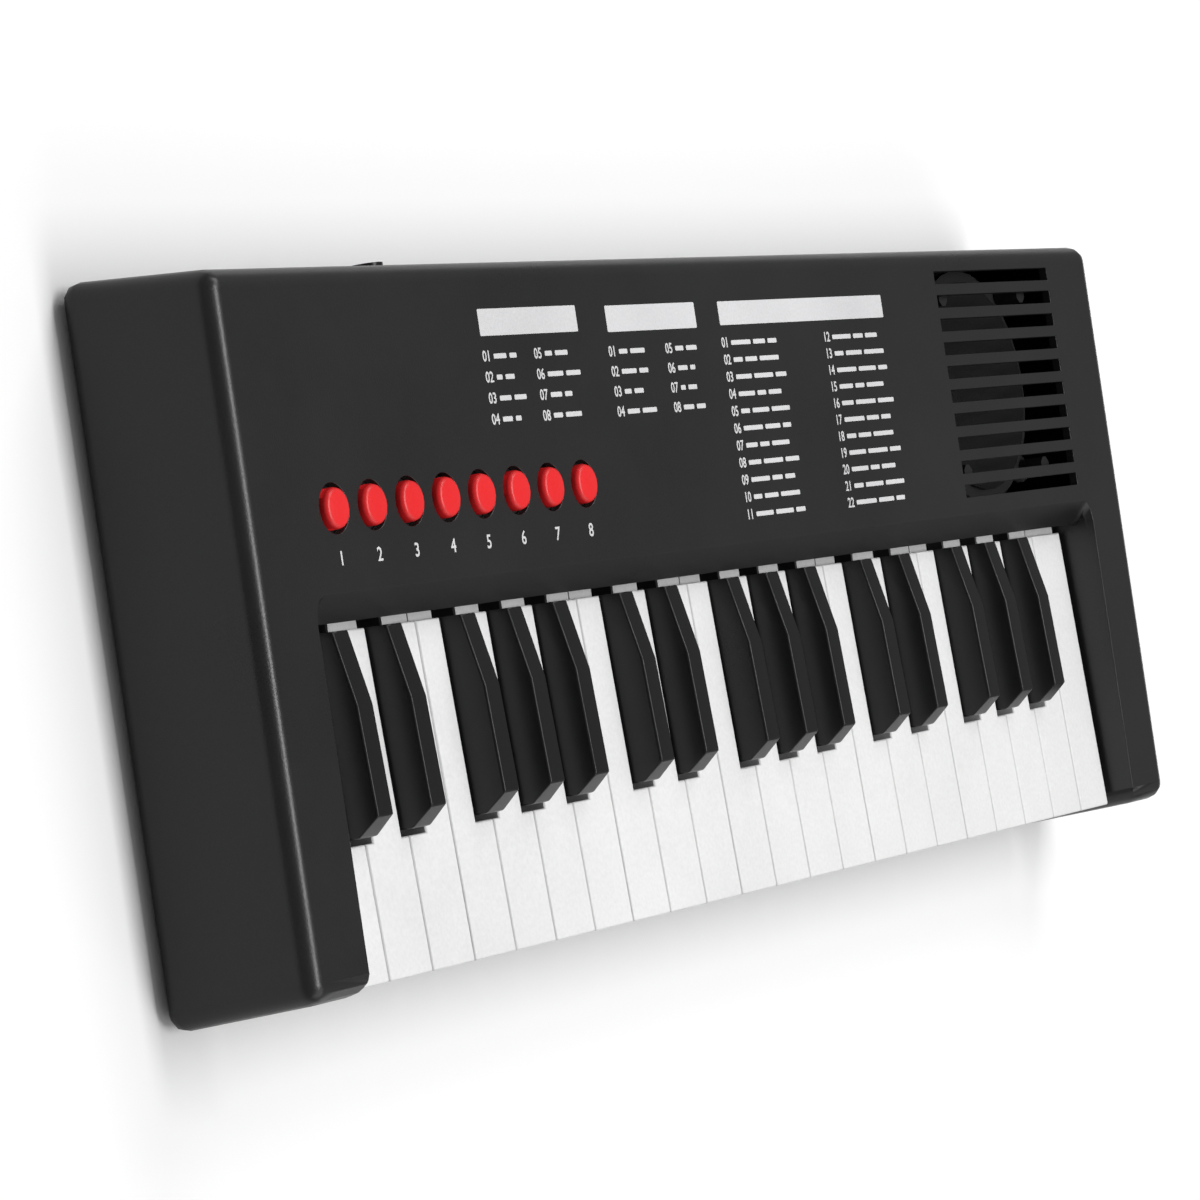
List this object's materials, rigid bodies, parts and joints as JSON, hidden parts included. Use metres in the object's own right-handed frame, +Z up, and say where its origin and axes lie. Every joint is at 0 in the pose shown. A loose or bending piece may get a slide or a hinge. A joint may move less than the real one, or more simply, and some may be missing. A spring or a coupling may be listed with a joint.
{
  "type": "portable keyboard",
  "caption": "Compact black portable keyboard with light sprung keys, red push buttons, a slotted speaker grille and a hinged battery door underneath.",
  "frame": {"origin": "bottom centre of the bounding box, on the surface the feet stand on", "axes": "+X along the keyboard to the player's right, +Y away from the player, +Z up"},
  "size_m": [0.4154, 0.1536, 0.0395],
  "materials": {
    "black_plastic": "satin black moulded plastic with a fine grain",
    "key_black": "satin black moulded plastic",
    "key_white": "off-white moulded plastic, satin",
    "button_red": "bright red moulded plastic",
    "frame_grey": "plain grey moulding",
    "silicone": "translucent grey silicone rubber",
    "board_green": "green solder mask",
    "felt_red": "pressed felt",
    "speaker_steel": "dark plated sheet steel",
    "cone_paper": "black paper cone",
    "magnet_ferrite": "dark grey ferrite",
    "contact_sheet": "bright plated spring sheet"
  },
  "bodies": {
    "case": {"upper_case": "black_plastic", "lower_case": "black_plastic", "power_jack": "key_black", "key_frame": "frame_grey", "key_stop_felt": "felt_red", "key_contact_board": "board_green", "key_dome_strip": "silicone", "control_board": "board_green", "button_pad": "silicone", "speaker_frame": "speaker_steel", "speaker_cone": "cone_paper", "speaker_magnet": "magnet_ferrite", "battery_spring_plate": "contact_sheet", "battery_tab_plate": "contact_sheet"},
    "battery_door": {"battery_door": "black_plastic"},
    "white_key_c1": {"white_key_c1": "key_white"},
    "white_key_d1": {"white_key_d1": "key_white"},
    "white_key_e1": {"white_key_e1": "key_white"},
    "white_key_f1": {"white_key_f1": "key_white"},
    "white_key_g1": {"white_key_g1": "key_white"},
    "white_key_a1": {"white_key_a1": "key_white"},
    "white_key_b1": {"white_key_b1": "key_white"},
    "white_key_c2": {"white_key_c2": "key_white"},
    "white_key_d2": {"white_key_d2": "key_white"},
    "white_key_e2": {"white_key_e2": "key_white"},
    "white_key_f2": {"white_key_f2": "key_white"},
    "white_key_g2": {"white_key_g2": "key_white"},
    "white_key_a2": {"white_key_a2": "key_white"},
    "white_key_b2": {"white_key_b2": "key_white"},
    "white_key_c3": {"white_key_c3": "key_white"},
    "white_key_d3": {"white_key_d3": "key_white"},
    "white_key_e3": {"white_key_e3": "key_white"},
    "white_key_f3": {"white_key_f3": "key_white"},
    "white_key_g3": {"white_key_g3": "key_white"},
    "white_key_a3": {"white_key_a3": "key_white"},
    "white_key_b3": {"white_key_b3": "key_white"},
    "white_key_c4": {"white_key_c4": "key_white"},
    "black_key_c_sharp1": {"black_key_c_sharp1": "key_black"},
    "black_key_d_sharp1": {"black_key_d_sharp1": "key_black"},
    "black_key_f_sharp1": {"black_key_f_sharp1": "key_black"},
    "black_key_g_sharp1": {"black_key_g_sharp1": "key_black"},
    "black_key_a_sharp1": {"black_key_a_sharp1": "key_black"},
    "black_key_c_sharp2": {"black_key_c_sharp2": "key_black"},
    "black_key_d_sharp2": {"black_key_d_sharp2": "key_black"},
    "black_key_f_sharp2": {"black_key_f_sharp2": "key_black"},
    "black_key_g_sharp2": {"black_key_g_sharp2": "key_black"},
    "black_key_a_sharp2": {"black_key_a_sharp2": "key_black"},
    "black_key_c_sharp3": {"black_key_c_sharp3": "key_black"},
    "black_key_d_sharp3": {"black_key_d_sharp3": "key_black"},
    "black_key_f_sharp3": {"black_key_f_sharp3": "key_black"},
    "black_key_g_sharp3": {"black_key_g_sharp3": "key_black"},
    "black_key_a_sharp3": {"black_key_a_sharp3": "key_black"},
    "power_button": {"power_button": "button_red"},
    "tone_button": {"tone_button": "button_red"},
    "rhythm_button": {"rhythm_button": "button_red"},
    "demo_button": {"demo_button": "button_red"},
    "mode_button": {"mode_button": "button_red"},
    "volume_down_button": {"volume_down_button": "button_red"},
    "volume_up_button": {"volume_up_button": "button_red"},
    "stop_button": {"stop_button": "button_red"}
  },
  "joints": [
    {"name": "battery_door_hinge", "type": "hinge", "parent": "case", "child": "battery_door", "pos_m": [-0.02, 0.06728, 0.001], "axis": [1, 0, 0], "range_deg": [0, 60], "stiffness_Nm_per_rad": 0.02, "springref_deg": -11.46},
    {"name": "white_key_c1_pivot", "type": "hinge", "parent": "case", "child": "white_key_c1", "pos_m": [-0.1771, 0.00422, 0.0215], "axis": [1, 0, 0], "range_deg": [0, 2.5], "stiffness_Nm_per_rad": 0.4, "springref_deg": -1.72},
    {"name": "white_key_d1_pivot", "type": "hinge", "parent": "case", "child": "white_key_d1", "pos_m": [-0.1603, 0.00422, 0.0215], "axis": [1, 0, 0], "range_deg": [0, 2.5], "stiffness_Nm_per_rad": 0.4, "springref_deg": -1.72},
    {"name": "white_key_e1_pivot", "type": "hinge", "parent": "case", "child": "white_key_e1", "pos_m": [-0.1435, 0.00422, 0.0215], "axis": [1, 0, 0], "range_deg": [0, 2.5], "stiffness_Nm_per_rad": 0.4, "springref_deg": -1.72},
    {"name": "white_key_f1_pivot", "type": "hinge", "parent": "case", "child": "white_key_f1", "pos_m": [-0.1267, 0.00422, 0.0215], "axis": [1, 0, 0], "range_deg": [0, 2.5], "stiffness_Nm_per_rad": 0.4, "springref_deg": -1.72},
    {"name": "white_key_g1_pivot", "type": "hinge", "parent": "case", "child": "white_key_g1", "pos_m": [-0.1099, 0.00422, 0.0215], "axis": [1, 0, 0], "range_deg": [0, 2.5], "stiffness_Nm_per_rad": 0.4, "springref_deg": -1.72},
    {"name": "white_key_a1_pivot", "type": "hinge", "parent": "case", "child": "white_key_a1", "pos_m": [-0.0931, 0.00422, 0.0215], "axis": [1, 0, 0], "range_deg": [0, 2.5], "stiffness_Nm_per_rad": 0.4, "springref_deg": -1.72},
    {"name": "white_key_b1_pivot", "type": "hinge", "parent": "case", "child": "white_key_b1", "pos_m": [-0.0763, 0.00422, 0.0215], "axis": [1, 0, 0], "range_deg": [0, 2.5], "stiffness_Nm_per_rad": 0.4, "springref_deg": -1.72},
    {"name": "white_key_c2_pivot", "type": "hinge", "parent": "case", "child": "white_key_c2", "pos_m": [-0.0595, 0.00422, 0.0215], "axis": [1, 0, 0], "range_deg": [0, 2.5], "stiffness_Nm_per_rad": 0.4, "springref_deg": -1.72},
    {"name": "white_key_d2_pivot", "type": "hinge", "parent": "case", "child": "white_key_d2", "pos_m": [-0.0427, 0.00422, 0.0215], "axis": [1, 0, 0], "range_deg": [0, 2.5], "stiffness_Nm_per_rad": 0.4, "springref_deg": -1.72},
    {"name": "white_key_e2_pivot", "type": "hinge", "parent": "case", "child": "white_key_e2", "pos_m": [-0.0259, 0.00422, 0.0215], "axis": [1, 0, 0], "range_deg": [0, 2.5], "stiffness_Nm_per_rad": 0.4, "springref_deg": -1.72},
    {"name": "white_key_f2_pivot", "type": "hinge", "parent": "case", "child": "white_key_f2", "pos_m": [-0.0091, 0.00422, 0.0215], "axis": [1, 0, 0], "range_deg": [0, 2.5], "stiffness_Nm_per_rad": 0.4, "springref_deg": -1.72},
    {"name": "white_key_g2_pivot", "type": "hinge", "parent": "case", "child": "white_key_g2", "pos_m": [0.0077, 0.00422, 0.0215], "axis": [1, 0, 0], "range_deg": [0, 2.5], "stiffness_Nm_per_rad": 0.4, "springref_deg": -1.72},
    {"name": "white_key_a2_pivot", "type": "hinge", "parent": "case", "child": "white_key_a2", "pos_m": [0.0245, 0.00422, 0.0215], "axis": [1, 0, 0], "range_deg": [0, 2.5], "stiffness_Nm_per_rad": 0.4, "springref_deg": -1.72},
    {"name": "white_key_b2_pivot", "type": "hinge", "parent": "case", "child": "white_key_b2", "pos_m": [0.0413, 0.00422, 0.0215], "axis": [1, 0, 0], "range_deg": [0, 2.5], "stiffness_Nm_per_rad": 0.4, "springref_deg": -1.72},
    {"name": "white_key_c3_pivot", "type": "hinge", "parent": "case", "child": "white_key_c3", "pos_m": [0.0581, 0.00422, 0.0215], "axis": [1, 0, 0], "range_deg": [0, 2.5], "stiffness_Nm_per_rad": 0.4, "springref_deg": -1.72},
    {"name": "white_key_d3_pivot", "type": "hinge", "parent": "case", "child": "white_key_d3", "pos_m": [0.0749, 0.00422, 0.0215], "axis": [1, 0, 0], "range_deg": [0, 2.5], "stiffness_Nm_per_rad": 0.4, "springref_deg": -1.72},
    {"name": "white_key_e3_pivot", "type": "hinge", "parent": "case", "child": "white_key_e3", "pos_m": [0.0917, 0.00422, 0.0215], "axis": [1, 0, 0], "range_deg": [0, 2.5], "stiffness_Nm_per_rad": 0.4, "springref_deg": -1.72},
    {"name": "white_key_f3_pivot", "type": "hinge", "parent": "case", "child": "white_key_f3", "pos_m": [0.1085, 0.00422, 0.0215], "axis": [1, 0, 0], "range_deg": [0, 2.5], "stiffness_Nm_per_rad": 0.4, "springref_deg": -1.72},
    {"name": "white_key_g3_pivot", "type": "hinge", "parent": "case", "child": "white_key_g3", "pos_m": [0.1253, 0.00422, 0.0215], "axis": [1, 0, 0], "range_deg": [0, 2.5], "stiffness_Nm_per_rad": 0.4, "springref_deg": -1.72},
    {"name": "white_key_a3_pivot", "type": "hinge", "parent": "case", "child": "white_key_a3", "pos_m": [0.1421, 0.00422, 0.0215], "axis": [1, 0, 0], "range_deg": [0, 2.5], "stiffness_Nm_per_rad": 0.4, "springref_deg": -1.72},
    {"name": "white_key_b3_pivot", "type": "hinge", "parent": "case", "child": "white_key_b3", "pos_m": [0.1589, 0.00422, 0.0215], "axis": [1, 0, 0], "range_deg": [0, 2.5], "stiffness_Nm_per_rad": 0.4, "springref_deg": -1.72},
    {"name": "white_key_c4_pivot", "type": "hinge", "parent": "case", "child": "white_key_c4", "pos_m": [0.1757, 0.00422, 0.0215], "axis": [1, 0, 0], "range_deg": [0, 2.5], "stiffness_Nm_per_rad": 0.4, "springref_deg": -1.72},
    {"name": "black_key_c_sharp1_pivot", "type": "hinge", "parent": "case", "child": "black_key_c_sharp1", "pos_m": [-0.17063, 0.00422, 0.0215], "axis": [1, 0, 0], "range_deg": [0, 2.5], "stiffness_Nm_per_rad": 0.4, "springref_deg": -1.72},
    {"name": "black_key_d_sharp1_pivot", "type": "hinge", "parent": "case", "child": "black_key_d_sharp1", "pos_m": [-0.15005, 0.00422, 0.0215], "axis": [1, 0, 0], "range_deg": [0, 2.5], "stiffness_Nm_per_rad": 0.4, "springref_deg": -1.72},
    {"name": "black_key_f_sharp1_pivot", "type": "hinge", "parent": "case", "child": "black_key_f_sharp1", "pos_m": [-0.12065, 0.00422, 0.0215], "axis": [1, 0, 0], "range_deg": [0, 2.5], "stiffness_Nm_per_rad": 0.4, "springref_deg": -1.72},
    {"name": "black_key_g_sharp1_pivot", "type": "hinge", "parent": "case", "child": "black_key_g_sharp1", "pos_m": [-0.1015, 0.00422, 0.0215], "axis": [1, 0, 0], "range_deg": [0, 2.5], "stiffness_Nm_per_rad": 0.4, "springref_deg": -1.72},
    {"name": "black_key_a_sharp1_pivot", "type": "hinge", "parent": "case", "child": "black_key_a_sharp1", "pos_m": [-0.08226, 0.00422, 0.0215], "axis": [1, 0, 0], "range_deg": [0, 2.5], "stiffness_Nm_per_rad": 0.4, "springref_deg": -1.72},
    {"name": "black_key_c_sharp2_pivot", "type": "hinge", "parent": "case", "child": "black_key_c_sharp2", "pos_m": [-0.05303, 0.00422, 0.0215], "axis": [1, 0, 0], "range_deg": [0, 2.5], "stiffness_Nm_per_rad": 0.4, "springref_deg": -1.72},
    {"name": "black_key_d_sharp2_pivot", "type": "hinge", "parent": "case", "child": "black_key_d_sharp2", "pos_m": [-0.03245, 0.00422, 0.0215], "axis": [1, 0, 0], "range_deg": [0, 2.5], "stiffness_Nm_per_rad": 0.4, "springref_deg": -1.72},
    {"name": "black_key_f_sharp2_pivot", "type": "hinge", "parent": "case", "child": "black_key_f_sharp2", "pos_m": [-0.00305, 0.00422, 0.0215], "axis": [1, 0, 0], "range_deg": [0, 2.5], "stiffness_Nm_per_rad": 0.4, "springref_deg": -1.72},
    {"name": "black_key_g_sharp2_pivot", "type": "hinge", "parent": "case", "child": "black_key_g_sharp2", "pos_m": [0.0161, 0.00422, 0.0215], "axis": [1, 0, 0], "range_deg": [0, 2.5], "stiffness_Nm_per_rad": 0.4, "springref_deg": -1.72},
    {"name": "black_key_a_sharp2_pivot", "type": "hinge", "parent": "case", "child": "black_key_a_sharp2", "pos_m": [0.03534, 0.00422, 0.0215], "axis": [1, 0, 0], "range_deg": [0, 2.5], "stiffness_Nm_per_rad": 0.4, "springref_deg": -1.72},
    {"name": "black_key_c_sharp3_pivot", "type": "hinge", "parent": "case", "child": "black_key_c_sharp3", "pos_m": [0.06457, 0.00422, 0.0215], "axis": [1, 0, 0], "range_deg": [0, 2.5], "stiffness_Nm_per_rad": 0.4, "springref_deg": -1.72},
    {"name": "black_key_d_sharp3_pivot", "type": "hinge", "parent": "case", "child": "black_key_d_sharp3", "pos_m": [0.08515, 0.00422, 0.0215], "axis": [1, 0, 0], "range_deg": [0, 2.5], "stiffness_Nm_per_rad": 0.4, "springref_deg": -1.72},
    {"name": "black_key_f_sharp3_pivot", "type": "hinge", "parent": "case", "child": "black_key_f_sharp3", "pos_m": [0.11455, 0.00422, 0.0215], "axis": [1, 0, 0], "range_deg": [0, 2.5], "stiffness_Nm_per_rad": 0.4, "springref_deg": -1.72},
    {"name": "black_key_g_sharp3_pivot", "type": "hinge", "parent": "case", "child": "black_key_g_sharp3", "pos_m": [0.1337, 0.00422, 0.0215], "axis": [1, 0, 0], "range_deg": [0, 2.5], "stiffness_Nm_per_rad": 0.4, "springref_deg": -1.72},
    {"name": "black_key_a_sharp3_pivot", "type": "hinge", "parent": "case", "child": "black_key_a_sharp3", "pos_m": [0.15294, 0.00422, 0.0215], "axis": [1, 0, 0], "range_deg": [0, 2.5], "stiffness_Nm_per_rad": 0.4, "springref_deg": -1.72},
    {"name": "power_button_slide", "type": "slide", "parent": "case", "child": "power_button", "axis": [0, 0, -1], "range_m": [0, 0.0012], "stiffness_N_per_m": 300, "springref_m": -0.0005},
    {"name": "tone_button_slide", "type": "slide", "parent": "case", "child": "tone_button", "axis": [0, 0, -1], "range_m": [0, 0.0012], "stiffness_N_per_m": 300, "springref_m": -0.0005},
    {"name": "rhythm_button_slide", "type": "slide", "parent": "case", "child": "rhythm_button", "axis": [0, 0, -1], "range_m": [0, 0.0012], "stiffness_N_per_m": 300, "springref_m": -0.0005},
    {"name": "demo_button_slide", "type": "slide", "parent": "case", "child": "demo_button", "axis": [0, 0, -1], "range_m": [0, 0.0012], "stiffness_N_per_m": 300, "springref_m": -0.0005},
    {"name": "mode_button_slide", "type": "slide", "parent": "case", "child": "mode_button", "axis": [0, 0, -1], "range_m": [0, 0.0012], "stiffness_N_per_m": 300, "springref_m": -0.0005},
    {"name": "volume_down_button_slide", "type": "slide", "parent": "case", "child": "volume_down_button", "axis": [0, 0, -1], "range_m": [0, 0.0012], "stiffness_N_per_m": 300, "springref_m": -0.0005},
    {"name": "volume_up_button_slide", "type": "slide", "parent": "case", "child": "volume_up_button", "axis": [0, 0, -1], "range_m": [0, 0.0012], "stiffness_N_per_m": 300, "springref_m": -0.0005},
    {"name": "stop_button_slide", "type": "slide", "parent": "case", "child": "stop_button", "axis": [0, 0, -1], "range_m": [0, 0.0012], "stiffness_N_per_m": 300, "springref_m": -0.0005}
  ]
}
